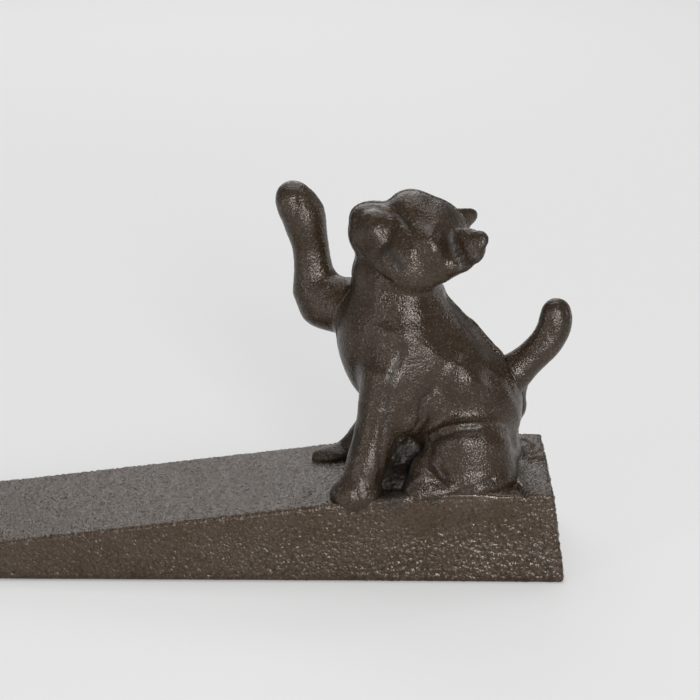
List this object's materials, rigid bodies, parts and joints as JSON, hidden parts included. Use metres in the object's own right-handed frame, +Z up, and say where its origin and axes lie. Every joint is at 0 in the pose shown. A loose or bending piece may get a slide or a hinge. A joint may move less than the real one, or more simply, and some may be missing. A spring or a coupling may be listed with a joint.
{
  "type": "cast iron doorstop",
  "caption": "Cast iron doorstop: a hollow wedge with a sitting cat, its paw raised, screwed on to the heel from below, and rubber grip pads let into the underside.",
  "frame": {"origin": "on the floor, under the middle of the object's length, on the plane where the cat's halves meet", "axes": "+X from the wedge's toe to its heel, +Z up, -Y towards the side that the picture shows"},
  "size_m": [0.199, 0.0464, 0.0999],
  "materials": {
    "wedge_iron": "dark brown semi-gloss paint over coarse sand-cast iron",
    "cat_iron": "dark brown semi-gloss paint over finer cast iron",
    "steel": "zinc-plated",
    "rubber": "matt black"
  },
  "bodies": {
    "root": {"wedge_casting": "wedge_iron", "cat_near_half": "cat_iron", "cat_far_half": "cat_iron", "chest_tie_screw": "steel", "haunch_tie_screw": "steel", "neck_dowel": "steel", "rump_dowel": "steel", "near_base_screw": "steel", "far_base_screw": "steel", "foot_base_screw": "steel", "near_base_washer": "steel", "far_base_washer": "steel", "foot_base_washer": "steel", "toe_pad": "rubber", "heel_pad_near": "rubber", "heel_pad_far": "rubber"}
  },
  "joints": []
}
